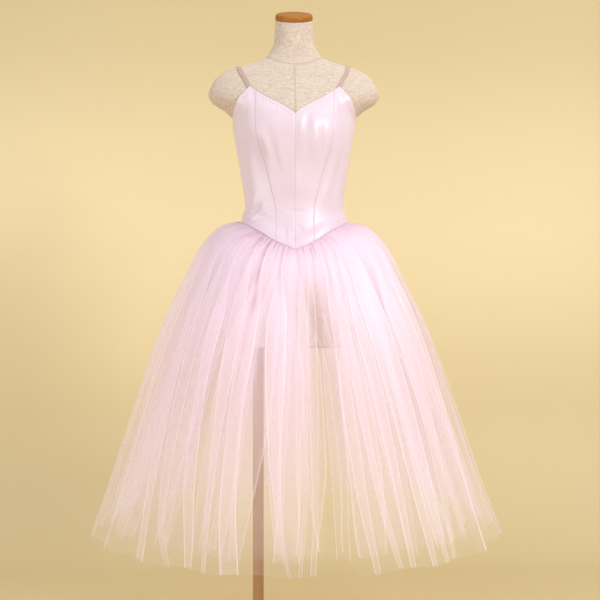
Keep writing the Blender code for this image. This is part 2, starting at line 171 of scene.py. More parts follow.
def add_object(name, data):
    ob = bpy.data.objects.new(name, data)
    bpy.context.scene.collection.objects.link(ob)
    return ob


def grid_object(name, points, material, wrap=False, values=None, cloth_uv=None):
    """A smooth mesh through points[row][column]. wrap joins the last column to the first. values
    holds point attributes by name. cloth_uv[row][column] is in metres, and one column longer than a
    wrapped grid."""
    points = np.asarray(points, float)
    rows, columns = points.shape[:2]
    index = np.arange(rows * columns).reshape(rows, columns)
    right = np.roll(index, -1, axis=1) if wrap else index[:, 1:]
    left = index if wrap else index[:, :-1]
    faces = np.stack([left[:-1], right[:-1], right[1:], left[1:]], axis=-1).reshape(-1, 4)
    mesh = bpy.data.meshes.new(name)
    mesh.from_pydata(points.reshape(-1, 3).tolist(), [], faces.tolist())
    if cloth_uv is not None:
        uv = np.asarray(cloth_uv, float)
        corners = [uv[:-1, :-1], uv[:-1, 1:], uv[1:, 1:], uv[1:, :-1]]
        layer = mesh.uv_layers.new(name="cloth")
        layer.data.foreach_set("uv", np.stack(corners, axis=2).reshape(-1))
    for key, value in (values or {}).items():
        attribute = mesh.attributes.new(key, "FLOAT", "POINT")
        full = np.broadcast_to(value, (rows, columns))
        attribute.data.foreach_set("value", full.reshape(-1).astype(np.float32))
    mesh.materials.append(material)
    mesh.shade_smooth()
    return add_object(name, mesh)


def turned_rings(name, profile, material, sides=96, at=(0.0, 0.0)):
    """A turned solid through (radius, height) points from its bottom middle to its top middle."""
    turns = np.linspace(0, 2 * math.pi, sides, endpoint=False)
    rings = [
        np.stack([at[0] + r * np.cos(turns), at[1] + r * np.sin(turns), np.full(sides, z)], axis=-1)
        for r, z in profile
    ]
    return grid_object(name, rings, material, wrap=True)


def settle(ob, slot, *nodes, sharp=None):
    """The piece rides on the one body and stands for its nodes, which are hidden. slot is not used."""
    if sharp:
        ob.data.set_sharp_from_angle(angle=math.radians(sharp))
    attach(ob, "root")
    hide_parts(*nodes)
    return ob


# Materials


class Nodes:
    """Short calls for building a material's nodes."""

    def __init__(self, name):
        self.material = bpy.data.materials.new(name)
        self.material.use_nodes = True
        self.tree = self.material.node_tree
        self.shader = self.tree.nodes["Principled BSDF"]
        self.output = self.tree.nodes["Material Output"]

    def add(self, kind, **settings):
        node = self.tree.nodes.new(kind)
        for key, value in settings.items():
            setattr(node, key, value)
        return node

    def join(self, source, target):
        self.tree.links.new(source, target)

    def feed(self, socket, value):
        """A number or a colour is set on the socket, and another node's output is linked to it."""
        if isinstance(value, (int, float)):
            socket.default_value = value
        elif isinstance(value, tuple):
            socket.default_value = (*value, 1)
        else:
            self.join(value, socket)

    def maths(self, operation, a, b=None, clamp=False):
        node = self.add("ShaderNodeMath", operation=operation, use_clamp=clamp)
        self.feed(node.inputs[0], a)
        if b is not None:
            self.feed(node.inputs[1], b)
        return node.outputs[0]

    def plus(self, a, b, clamp=False):
        return self.maths("ADD", a, b, clamp)

    def minus(self, a, b, clamp=False):
        return self.maths("SUBTRACT", a, b, clamp)

    def times(self, a, b, clamp=False):
        return self.maths("MULTIPLY", a, b, clamp)

    def attribute(self, name):
        return self.add("ShaderNodeAttribute", attribute_name=name).outputs["Fac"]

    def noise(self, scale, detail=3.0, rough=0.5, vector=None, stretch=None):
        node = self.add("ShaderNodeTexNoise")
        node.inputs["Scale"].default_value = scale
        node.inputs["Detail"].default_value = detail
        node.inputs["Roughness"].default_value = rough
        if vector is None:
            vector = self.add("ShaderNodeTexCoord").outputs["Object"]
        if stretch:
            mapping = self.add("ShaderNodeMapping")
            mapping.inputs["Scale"].default_value = stretch
            self.join(vector, mapping.inputs["Vector"])
            vector = mapping.outputs[0]
        self.join(vector, node.inputs["Vector"])
        return node.outputs["Fac"]

    def ramp(self, source, low, high, positions=(0.3, 0.7)):
        node = self.add("ShaderNodeValToRGB")
        node.color_ramp.elements[0].position = positions[0]
        node.color_ramp.elements[1].position = positions[1]
        node.color_ramp.elements[0].color = (*low, 1)
        node.color_ramp.elements[1].color = (*high, 1)
        self.join(source, node.inputs["Fac"])
        return node.outputs["Color"]

    def mix(self, share, a, b):
        node = self.add("ShaderNodeMix", data_type="RGBA")
        self.feed(node.inputs["Factor"], share)
        self.feed(node.inputs[6], a)
        self.feed(node.inputs[7], b)
        return node.outputs[2]

    def mix_shaders(self, share, first, second):
        """The first shader at a share of 0, and the second at 1."""
        node = self.add("ShaderNodeMixShader")
        self.feed(node.inputs[0], share)
        self.join(first, node.inputs[1])
        self.join(second, node.inputs[2])
        return node.outputs[0]

    def bumped(self, height, strength, distance):
        node = self.add("ShaderNodeBump")
        node.inputs["Strength"].default_value = strength
        node.inputs["Distance"].default_value = distance
        self.join(height, node.inputs["Height"])
        self.join(node.outputs[0], self.shader.inputs["Normal"])

    def paint(self, colour):
        self.join(colour, self.shader.inputs["Base Color"])

    def show(self, shader):
        self.join(shader, self.output.inputs["Surface"])

    def set(self, **values):
        for key, value in values.items():
            self.shader.inputs[key.replace("_", " ")].default_value = value

    def cloth_place(self):
        """The cloth's own flat coordinates in metres."""
        split = self.add("ShaderNodeSeparateXYZ")
        self.join(self.add("ShaderNodeUVMap", uv_map="cloth").outputs[0], split.inputs[0])
        return split.outputs[0], split.outputs[1]


MESH_PITCH = 0.0016  # from one row of the net's holes to the next, in metres of cloth
NET_PASSES_SHADOW = 0.66  # threads pass light on forwards, so the net's shadow is thinner than the net
# The net's own colour, and a painted highlight that lightens the folds' edges
NET_LIGHT, NET_FOLD_HIGHLIGHT = (0.95, 0.865, 0.94), (1.0, 0.96, 0.99)
# Painted shade: a darker pink near the waist, and a deeper pink for the creases and half way down
NET_WAIST_SHADE, NET_PAINTED_SHADE = (0.93, 0.74, 0.84), (0.78, 0.42, 0.54)


def net_material():
    """Soft tulle: a net of round meshes, denser where it is gathered and where it is seen edge-on. Its
    colour has a painted highlight on the folds' edges and painted shade in the creases, half way down and
    near the waist.
    """
    n = Nodes("tulle_net")
    across, along = n.cloth_place()
    waves = []
    for degrees in (12, 72, 132):
        pitch, way = 2 * math.pi / MESH_PITCH, math.radians(degrees)
        x, y = n.times(across, pitch * math.cos(way)), n.times(along, pitch * math.sin(way))
        waves.append(n.maths("COSINE", n.plus(x, y)))
    mesh = n.plus(n.plus(waves[0], waves[1]), waves[2])
    strand = n.minus(1.0, n.times(n.plus(mesh, 1.5), 0.33), clamp=True)
    fold, painted_shade = n.attribute("fold"), n.attribute("painted_shade")
    flat = n.add("ShaderNodeUVMap", uv_map="cloth").outputs[0]
    streak = n.noise(1.0, 1.0, 0.5, vector=flat, stretch=(30, 0.5, 1))
    streak = n.times(n.minus(streak, 0.3), 2.5, clamp=True)
    near_waist = n.attribute("painted_waist_shade")
    clear_share = n.minus(0.94, n.times(strand, 0.10))
    facing = n.add("ShaderNodeLayerWeight").outputs["Facing"]
    slant = n.minus(1.0, n.times(facing, 0.72))
    uneven = n.plus(n.times(streak, 0.4), 0.8)
    layers = n.times(n.maths("DIVIDE", n.attribute("gather"), slant), uneven)
    through = n.times(n.maths("POWER", clear_share, layers), n.minus(1.0, n.times(fold, 0.8)))
    alpha = n.minus(1.0, through, clamp=True)
    # Painted shade near the waist, strongest where the streaks are thin
    waist_shaded = n.times(near_waist, n.minus(1.15, streak), clamp=True)
    # Painted highlight on the folds' edges, painted shade near the waist and in the creases
    tone = n.mix(painted_shade, n.mix(waist_shaded, n.mix(fold, NET_LIGHT, NET_FOLD_HIGHLIGHT), NET_WAIST_SHADE), NET_PAINTED_SHADE)
    n.paint(tone)
    n.set(Roughness=0.75, Specular_IOR_Level=0.2, Sheen_Weight=0.2, Sheen_Roughness=0.4)
    clear, clear_to_light = (n.add("ShaderNodeBsdfTransparent").outputs[0] for _ in range(2))
    behind = n.add("ShaderNodeBsdfTranslucent")
    n.join(tone, behind.inputs["Color"])
    cloth = n.mix_shaders(0.38, n.shader.outputs[0], behind.outputs[0])
    seen = n.mix_shaders(alpha, clear, cloth)
    shadow = n.add("ShaderNodeLightPath").outputs["Is Shadow Ray"]
    n.show(n.mix_shaders(n.times(shadow, NET_PASSES_SHADOW), seen, clear_to_light))
    return n.material


def satin_material():
    n = Nodes("pink_satin")
    threads = n.noise(1.0, 2.0, 0.6, stretch=(2600, 2600, 160))
    tone = n.ramp(n.noise(14.0, 3.0, 0.55), (0.745, 0.605, 0.70), (0.785, 0.655, 0.745))
    n.paint(n.mix(n.attribute("seam"), tone, (0.62, 0.38, 0.44)))
    gloss = n.ramp(threads, (0.35, 0.35, 0.35), (0.45, 0.45, 0.45))
    n.join(gloss, n.shader.inputs["Roughness"])
    n.set(Specular_IOR_Level=0.6, Sheen_Weight=0.25, Sheen_Roughness=0.35)
    n.bumped(threads, 0.12, 0.0004)
    return n.material


def linen_material():
    """Unbleached linen with uneven threads both ways."""
    n = Nodes("linen_cover")
    weft = n.noise(1.0, 3.0, 0.65, stretch=(100, 100, 460))
    warp = n.noise(1.0, 3.0, 0.65, stretch=(520, 520, 90))
    weave = n.times(n.plus(weft, warp), 0.5)
    fine = n.noise(900.0, 2.0, 0.5)
    base = n.ramp(weave, (0.43, 0.335, 0.27), (0.80, 0.69, 0.59), (0.36, 0.62))
    worn = n.mix(n.times(fine, 0.75), base, (0.60, 0.49, 0.40))
    n.paint(n.mix(n.attribute("seam"), worn, (0.36, 0.25, 0.20)))
    n.set(Roughness=0.92, Specular_IOR_Level=0.2, Sheen_Weight=0.15, Sheen_Roughness=0.5)
    n.bumped(weave, 0.5, 0.0008)
    return n.material


def wood_material():
    n = Nodes("cap_wood")
    grain = n.noise(1.0, 5.0, 0.6, stretch=(22, 160, 160))
    n.paint(n.ramp(grain, (0.27, 0.095, 0.012), (0.46, 0.19, 0.022), (0.3, 0.72)))
    n.set(Roughness=0.5, Specular_IOR_Level=0.2)
    n.bumped(grain, 0.15, 0.0005)
    return n.material


def metal_material():
    n = Nodes("brown_paint")
    speckle = n.noise(420.0, 3.0, 0.5)
    n.paint(n.ramp(speckle, (0.36, 0.20, 0.085), (0.46, 0.27, 0.125)))
    n.set(Roughness=0.42, Metallic=0.25)
    n.bumped(speckle, 0.08, 0.0003)
    return n.material


def strap_material():
    n = Nodes("strap_elastic")
    across, along = n.cloth_place()
    rib = n.maths("SINE", n.times(along, 2 * math.pi / 0.0016))
    rib = n.plus(n.times(rib, 0.5), 0.5)
    edge = n.maths("SINE", n.times(across, 2 * math.pi / 0.002))
    weave = n.times(n.plus(rib, edge), 0.5)
    n.paint(n.ramp(weave, (0.46, 0.29, 0.24), (0.62, 0.43, 0.37), (0.1, 0.9)))
    n.set(Roughness=0.6, Sheen_Weight=0.3)
    n.bumped(weave, 0.3, 0.0004)
    return n.material


def thread_material():
    n = Nodes("pink_thread")
    n.paint(n.ramp(n.noise(1600.0, 2.0, 0.5), (0.74, 0.50, 0.56), (0.88, 0.68, 0.73)))
    n.set(Roughness=0.5, Sheen_Weight=0.3)
    return n.material


NET, SATIN_LOOK, LINEN_LOOK = net_material(), satin_material(), linen_material()
WOOD_LOOK, METAL_LOOK = wood_material(), metal_material()
STRAP_LOOK, THREAD_LOOK = strap_material(), thread_material()


# The dress form


def body_point(angle, z, out=0.0):
    """Points of the form's level sections, moved out. angle is 0 in front and grows to +X."""
    angle, z = np.broadcast_arrays(np.asarray(angle, float), np.asarray(z, float))
    across, ahead = np.sin(angle), np.cos(angle)
    half = HALF(z)
    depth = np.where(ahead > 0, FRONT(z), BACK(z))
    x, y = half * across, -depth * ahead
    bust = bump(np.abs(x) - BUST_X, BUST_WIDE) * bump(z - BUST_Z, BUST_TALL)
    y = y - BUST_RISE * np.maximum(ahead, 0.0) * bust
    nx, ny = across / half, -ahead / depth
    length = np.hypot(nx, ny)
    return np.stack([x + nx / length * out, y + ny / length * out, z], axis=-1)


def neck_tilt(points):
    share = ease_in((points[..., 2] - NECK_SLOPE_FROM) / (FORM_TOP - NECK_SLOPE_FROM))
    tilted = points.copy()
    tilted[..., 2] += share * math.tan(NECK_SLOPE) * points[..., 1]
    return tilted


def form_columns():
    """(angle, offset in metres, distance from a seam) for each column of the form's mesh."""
    columns = []
    for degrees in range(-180, 180, 3):
        from_seam = min(abs(degrees), abs(abs(degrees) - 180))
        if from_seam > 4:
            columns.append((math.radians(degrees), 0.0, 1.0))
    for seam in (-math.pi, 0.0):
        columns += [(seam, offset, abs(offset)) for offset in GROOVE_AT]
    return sorted(columns, key=lambda c: c[0] + c[1] / NARROWEST)


def neck_seam_height(angle):
    """The height of the seam round the neck's base, which rises with the distance from the middle."""
    ahead = np.cos(angle)
    aside = np.where(ahead > 0, np.abs(np.sin(angle)), 1.0)
    height = np.full(len(angle), NECK_SEAM_FRONT)
    for _ in range(60):
        meant = NECK_SEAM_FRONT + NECK_SEAM_CURVE * (HALF(height) * aside) ** 2
        height = height + 0.2 * (meant - height)
    return height + NECK_SEAM_RISE * np.maximum(-ahead, 0)


def build_form():
    base, offset, from_seam = np.array(form_columns()).T
    near_long_seam = bump(from_seam, GROOVE_WIDE)
    neck_seam = neck_seam_height(base)
    below, above = neck_seam - GROOVE_AT[-1] - 0.002, neck_seam + GROOVE_AT[-1]
    rows = [(FORM_FOOT + share * (below - FORM_FOOT), 0.0) for share in np.linspace(0, 1, 120)[:-1]]
    rows += [(neck_seam + step, float(bump(step, GROOVE_WIDE))) for step in GROOVE_AT]
    rows += [(above + share * (FORM_TOP - above), 0.0) for share in np.linspace(0, 1, 36)[1:]]
    heights, near_seam = (np.array(column) for column in zip(*rows))
    on_torso = (heights <= neck_seam[None, :]) * 1.0
    seam = np.maximum(near_seam[:, None], near_long_seam[None, :] * on_torso)
    angles = base[None, :] + offset[None, :] / np.maximum(HALF(heights), NARROWEST)
    points = neck_tilt(body_point(angles, heights, -GROOVE_DEEP * seam))
    middle = points.mean(axis=1, keepdims=True)
    foot = []
    for shrink, rise in ((0.02, 0.001), (0.3, 0.001), (0.90, 0.001), (0.975, 0.0)):
        foot.append(middle[0] + (points[0] - middle[0]) * shrink + np.array([0, 0, rise]))
    top = [middle[-1] + (points[-1] - middle[-1]) * shrink for shrink in (0.97, 0.5, 0.02)]
    points[0, :, 2] += 0.003
    points = np.concatenate([foot, points, top])
    seam = np.pad(seam, ((len(foot), len(top)), (0, 0)))
    cover = grid_object("form_cover", points, LINEN_LOOK, wrap=True, values={"seam": seam * SEAM_SHADE})
    return settle(cover, "linen", "form_body")


# The neck cap's turned edge: height over its underside, share of the neck's outline
CAP_EDGE = (
    (0, 0), (0, 0.97), (0.0006, 0.995), (0.0014, 1), (0.007, 1), (0.0098, 0.985), (0.0118, 0.955),
    (0.0129, 0.91), (0.0134, 0.86), (0.0138, 0.5), (0.014, 0)
)
CAP_GAP = 0.0003


def build_neck_cap():
    """A turned-edge wooden cap on the neck's sloping top."""
    turns = np.linspace(-math.pi, math.pi, 128, endpoint=False)
    rim = neck_tilt(body_point(turns, np.full(128, FORM_TOP)))
    middle = rim.mean(axis=0)
    up = np.array([0.0, -math.sin(NECK_SLOPE), math.cos(NECK_SLOPE)])
    rings = []
    for lift, share in CAP_EDGE:
        rings.append(middle + (rim - middle) * max(share, 0.002) + up * (CAP_GAP + lift))
    settle(grid_object("neck_cap_wood", rings, WOOD_LOOK, wrap=True), "cap_wood", "form_neck_cap")


def build_stand():
    low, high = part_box("stand_pole")
    radius = (high[0] - low[0]) / 2
    at = ((high[0] + low[0]) / 2, (high[1] + low[1]) / 2)
    profile = ((0.0004, low[2]), (radius, low[2]), (radius, low[2] + 0.0004), (radius, high[2]))
    pole = turned_rings("pole_tube", profile + ((0.0004, high[2]),), METAL_LOOK, 64, at)
    settle(pole, "stand_metal", "stand_pole", sharp=40)
    low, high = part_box("stand_base")
    radius, edge = (high[0] - low[0]) / 2, 0.0018
    profile = [(0.001, low[2]), (radius - edge, low[2])]
    for step in range(7):
        turn = -math.pi / 2 + math.pi * step / 6
        middle = low[2] + edge if step < 3 else high[2] - edge
        profile.append((radius - edge + edge * math.cos(turn), middle + edge * math.sin(turn)))
    profile += [(radius - 0.02, high[2]), (0.001, high[2])]
    plate = turned_rings("base_plate", profile, METAL_LOOK, 160)
    settle(plate, "stand_metal", "stand_base", sharp=50)


# The bodice


def seam_angles(z):
    """The angles of the middle front, front seam, side seam, back seam and middle back."""
    return (
        np.zeros_like(z),
        np.arcsin(FRONT_SEAM_X(z) / HALF(z)),
        np.full_like(z, SIDE_SEAM_ANGLE),
        math.pi - np.arcsin(BACK_SEAM_X(z) / HALF(z)),
        np.full_like(z, math.pi),
    )


# Drape creases of the satin: +1 front or -1 back, then in millimetres x and z of one end and of the
# other, half width, depth (negative for a trough, positive for a ridge). x is positive on the wearer's
# left.
CREASES = (
    (1, -56, 1196, -46, 1150, 6, -3), (1, -46, 1150, -30, 1075, 7.5, -3),
    (1, -66, 1190, -58, 1150, 6, 1.6), (1, -40, 1170, -18, 1060, 8, 1.4),
    (1, -26, 1120, -14, 1040, 11, -2.2), (1, 28, 1228, 24, 1160, 6.2, -3.2),
    (1, 24, 1165, 11, 1095, 7, -3), (1, 14, 1215, 11, 1150, 5.5, 1.5),
    (1, 40, 1220, 36, 1160, 6, 1.8), (1, 57, 1205, 56, 1150, 4.5, -2.4),
    (1, 49, 1195, 46, 1120, 5, 1.4), (1, -83, 1165, -62, 1080, 10, -2.4),
    (1, -62, 1080, -48, 1020, 8, -1.6), (1, -100, 1150, -92, 1060, 9, 1.6),
    (1, -86, 1055, -98, 1010, 5.5, 2.2), (1, -98, 1016, -74, 1036, 3, -1.8),
    (1, -96, 1006, -60, 1024, 3.5, 1.8), (1, -88, 1000, -58, 1012, 3, -1.6),
    (1, -104, 998, -90, 1012, 2.8, -1.4), (1, 94, 1160, 66, 1050, 8, 2),
    (1, 105, 1160, 86, 1060, 6, -1.8), (1, 112, 1170, 100, 1080, 5, 1.4),
    (1, 82, 1150, 58, 1060, 6, -1.6), (1, 98, 1285, 110, 1235, 6, -2),
    (1, 110, 1245, 126, 1225, 5.5, 1.8), (1, 108, 1010, 86, 1022, 3.5, -1.4),
    (1, 100, 998, 82, 1008, 3.5, 1.2), (1, -24, 1021.5, 20, 1019.5, 2.2, -1.3),
    (1, -40, 1024, -24, 1021.5, 2, 1), (1, -22, 980, -18, 956, 5, -1.4),
    (1, -14, 978, -13, 960, 3, 1.4), (1, 4, 986, 18, 975, 2.6, -1.2),
    (1, -98, 1262, -100, 1200, 9, 1.4), (1, -96, 1292, -92, 1262, 4, -1.6),
    (-1, 40, 1180, 30, 1090, 10, -2.4), (-1, -34, 1175, -26, 1080, 11, -2.6),
    (-1, 62, 1150, 50, 1060, 9, 1.8), (-1, -66, 1160, -50, 1050, 9, 1.8),
    (-1, 16, 1060, 60, 1040, 5, -1.6), (-1, -12, 1052, -66, 1034, 5, -1.8),
    (-1, 14, 1030, 70, 1018, 4, -1.4), (-1, -30, 1022, -72, 1010, 4, 1.4),
    (-1, 98, 1180, 86, 1080, 8, -1.8), (-1, -100, 1170, -88, 1070, 8, -1.8),
    (-1, 104, 1060, 86, 1016, 6, 1.6), (-1, -100, 1052, -84, 1012, 5.5, 1.6),
)
CREASE_GAIN, CREASE_WIDEN = 1.5, 1.3
DEEPEST = 0.0030  # the satin never lies deeper than this, so it stays clear of the form
# Short puckers that the stitching draws along the wearer's right neckline: share of the way from the
# middle to the peak, length, depth
NECK_PUCKERS = (
    (0.14, 0.011, -0.0007), (0.23, 0.013, -0.001), (0.31, 0.01, -0.0008), (0.4, 0.014, -0.0012),
    (0.47, 0.012, -0.0011), (0.55, 0.015, -0.0013), (0.62, 0.013, -0.001), (0.7, 0.016, -0.0014),
    (0.78, 0.012, -0.0011), (0.86, 0.017, -0.0013), (0.93, 0.012, -0.0009),
)
# The bust darts: x and z of the inner end, and of the end at the side
DARTS = ((-0.1055, 1.1905, -0.1285, 1.152), (0.1035, 1.196, 0.1265, 1.155))
STITCH_BELOW = 0.009  # the topstitching's distance under the neckline


def from_line(x, z, x0, z0, x1, z1):
    """Distance from a line's stretch, and the share along it."""
    length = math.hypot(x1 - x0, z1 - z0)
    along = ((x - x0) * (x1 - x0) + (z - z0) * (z1 - z0)) / length**2
    aside = ((x - x0) * (z1 - z0) - (z - z0) * (x1 - x0)) / length
    return aside, along


def crease(x, z, row):
    """One soft trough or ridge that fades out at both ends."""
    x0, z0, x1, z1, width, depth = row
    aside, along = from_line(x, z, x0, z0, x1, z1)
    taper = ease_in((along + 0.35) / 0.7) * ease_in((1.35 - along) / 0.7)
    return depth * bump(aside, width * CREASE_WIDEN) * taper


def satin_relief(x, y, z):
    """How far the satin stands out or in from its smooth surface."""
    front = ease_in((0.02 - y) / 0.04)
    relief = np.zeros_like(x)
    for face, *row in CREASES:
        metres = [value / 1000 for value in row]
        relief += (front if face > 0 else 1 - front) * crease(x, z, metres) * CREASE_GAIN
    peak_x, low_z, peak_z = 0.100, BODICE_TOP[0][1], max(row[1] for row in BODICE_TOP)
    for share, length, depth in NECK_PUCKERS:
        top_x, top_z = -share * peak_x, low_z + share * (peak_z - low_z)
        row = (top_x, top_z - 0.002, top_x - 0.25 * length, top_z - length, 0.0016, depth)
        relief += front * crease(x, z, row)
    for x0, z0, x1, z1 in DARTS:
        aside, along = from_line(x, z, x0, z0, x1, z1)
        inside = ease_in((along + 0.05) / 0.1) * ease_in((1.1 - along) / 0.1)
        fold = 0.0009 * (ease_in(aside / 0.003 + 0.5) - 0.5) * bump(aside, 0.02)
        relief += front * inside * (fold - 0.0005 * bump(aside, 0.0014))
    relief += 0.0005 * np.sin(31 * x + 17 * z) * np.sin(43 * z + 9 * x)
    return np.where(relief < 0, DEEPEST * np.tanh(relief / DEEPEST), relief)


def foot_height(angle):
    return FOOT_HEIGHT(np.degrees(np.abs(angle)))


def top_height(angle):
    return straight(BODICE_TOP, np.degrees(np.abs(angle)))


def satin_point(side, angle, z, lift=0.0):
    """Points on the satin's outside. angle is measured on the wearer's left and side mirrors it."""
    near_foot = ease_in((foot_height(angle) + FOOT_RISE - z) / (FOOT_RISE - FOOT_BAND))
    at_bust = bump(z - BUST_Z, BUST_TALL) * np.maximum(np.cos(angle), 0.0)
    ease = BODICE_EASE + FOOT_EASE * near_foot + BUST_EASE * at_bust
    plain = body_point(angle, z)
    relief = satin_relief(side * plain[..., 0], plain[..., 1], z)
    edge_fade = ease_in((z - foot_height(angle)) / 0.006)
    points = body_point(angle, z, ease + SATIN + relief * edge_fade + lift)
    points[..., 0] *= side
    return points


def end_shares(count, near):
    """Shares from 0 to 1 that stand close together at both ends."""
    near = np.array(near)
    inner = np.linspace(near[-1], 1 - near[-1], count)
    return np.concatenate([near[:-1], inner, (1 - near[:-1])[::-1]])


# name, columns of the mesh, flat width and length, area; in order from the middle front to the back
PANELS = (
    ("bodice_front", 44, (0.10, 0.37), 0.027),
    ("bodice_side_front", 52, (0.13, 0.36), 0.036),
    ("bodice_side_back", 40, (0.13, 0.27), 0.028),
    ("bodice_back", 36, (0.09, 0.26), 0.0155),
)
PANEL_ROWS = end_shares(104, (0.0, 0.003, 0.007, 0.012, 0.02))
SEAM_DIP, SEAM_DIP_WIDE = 0.0007, 0.0013
# The turned-in edges: how far in, how far from the edge
FOOT_TURN_IN = ((0.0006, -0.0003), (0.0015, 0.0), (0.0017, 0.001), (0.0017, 0.006))
TOP_TURN_IN = ((0.0006, -0.0003), (0.0015, 0.0), (0.0019, 0.0008), (0.0019, 0.006))


def panel_places(order, across):
    """Angles and heights of a panel's grid points, and their distances from its long seams."""
    across, up = across[None, :], PANEL_ROWS[:, None]
    z = np.full((up.shape[0], across.shape[1]), 1.10)
    for _ in range(14):
        start, end = seam_angles(z)[order : order + 2]
        angle = start + across * (end - start)
        low, high = foot_height(angle), top_height(angle)
        z = low + up * (high - low)
    radius = np.hypot(HALF(z) * np.cos(angle), FRONT(z) * np.sin(angle))
    width = (end - start) * radius
    return angle, z, np.minimum(across * width, (1 - across) * width)


def build_panel(name, side, order, columns):
    across = end_shares(columns, (0.0, 0.005, 0.011, 0.019, 0.03, 0.045))
    angle, z, from_seam = panel_places(order, across)
    dip = bump(from_seam, SEAM_DIP_WIDE)
    rows, seams = list(satin_point(side, angle, z, -SEAM_DIP * dip)), list(dip)
    for turned_in, drop in TOP_TURN_IN:
        rows.append(satin_point(side, angle[-1], z[-1] - drop, -turned_in))
        seams.append(dip[-1])
    for turned_in, rise in FOOT_TURN_IN:
        rows.insert(0, satin_point(side, angle[0], z[0] + rise, -turned_in))
        seams.insert(0, dip[0])
    points, seams = np.array(rows), np.array(seams)
    steps = np.linalg.norm(np.diff(points, axis=1), axis=-1)
    run = np.concatenate([np.zeros((len(points), 1)), np.cumsum(steps, axis=1)], axis=1)
    uv = np.stack([run, points[..., 2]], axis=-1)
    if side < 0:
        points, seams, uv = points[:, ::-1], seams[:, ::-1], uv[:, ::-1]
    values = {"seam": seams * SEAM_SHADE}
    panel = grid_object(name + "_satin", points, SATIN_LOOK, values=values, cloth_uv=uv)
    settle(panel, "satin", name)


def build_bodice():
    for order, (name, columns, cut, area) in enumerate(PANELS):
        for side, hand in ((1, "_left"), (-1, "_right")):
            build_panel(name + hand, side, order, columns)


STITCH, STITCH_GAP, THREAD_RADIUS = 0.0023, 0.0009, 0.00028
THREAD_SIDES = 5
# A stitch's rings: share of its length, share of the thread's radius
STITCH_RINGS = ((0, 0.25), (0.12, 1.0), (0.88, 1.0), (1, 0.25))


def thread_run(points, normals):
    """Short stitches along a route of points with outward normals, as vertices and faces."""
    lengths = np.concatenate([[0], np.cumsum(np.linalg.norm(np.diff(points, axis=0), axis=1))])
    verts, faces = [], []
    start = 0.0
    while start + STITCH < lengths[-1]:
        at = [start + STITCH * share for share, _ in STITCH_RINGS]
        places = np.stack([np.interp(at, lengths, column) for column in points.T], axis=1)
        out = np.array([np.interp(start + STITCH / 2, lengths, column) for column in normals.T])
        out /= np.linalg.norm(out)
        ahead = places[-1] - places[0]
        ahead /= np.linalg.norm(ahead)
        aside = np.cross(ahead, out)
        first = len(verts)
        for place, (_, share) in zip(places, STITCH_RINGS):
            for corner in range(THREAD_SIDES):
                turn = 2 * math.pi * corner / THREAD_SIDES
                move = aside * math.cos(turn) * 1.3 + out * math.sin(turn)
                verts.append(tuple(place + move * THREAD_RADIUS * share))
        for ring in range(first, first + 3 * THREAD_SIDES, THREAD_SIDES):
            for corner in range(THREAD_SIDES):
                a, b = ring + corner, ring + (corner + 1) % THREAD_SIDES
                faces.append((a, b, b + THREAD_SIDES, a + THREAD_SIDES))
        faces.append(tuple(range(first + THREAD_SIDES - 1, first - 1, -1)))
        faces.append(tuple(range(len(verts) - THREAD_SIDES, len(verts))))
        start += STITCH + STITCH_GAP
    return verts, faces


def build_stitches():
    """Topstitching under the whole top edge."""
    verts, faces = [], []
    for side in (1, -1):
        angles = np.radians(np.linspace(0.9, 179.2, 500))
        heights = top_height(angles) - STITCH_BELOW
        points, outer = (satin_point(side, angles, heights, lift) for lift in (0.0002, 0.0012))
        normals = outer - points
        normals /= np.linalg.norm(normals, axis=1, keepdims=True)
        new_verts, new_faces = thread_run(points, normals)
        faces += [tuple(i + len(verts) for i in face) for face in new_faces]
        verts += new_verts
    mesh = bpy.data.meshes.new("neckline_stitches")
    mesh.from_pydata(verts, [], faces)
    mesh.materials.append(THREAD_LOOK)
    mesh.shade_smooth()
    settle(add_object("neckline_stitches", mesh), "satin")


# The straps

STRAP_ROUTE = (
    (33, 0.0985, 0.101), (50, 0.109, 0.112), (68, 0.122, 0.125), (90, 0.127, 0.13),
    (112, 0.121, 0.124), (140, 0.102, 0.105), (170, 0.083, 0.084), (193, 0.0745, 0.0745),
)
STRAP_CENTRE_Z = 1.25
STRAP_WIDE, STRAP_THICK, STRAP_LIFT = 0.0082, 0.0010, 0.0008


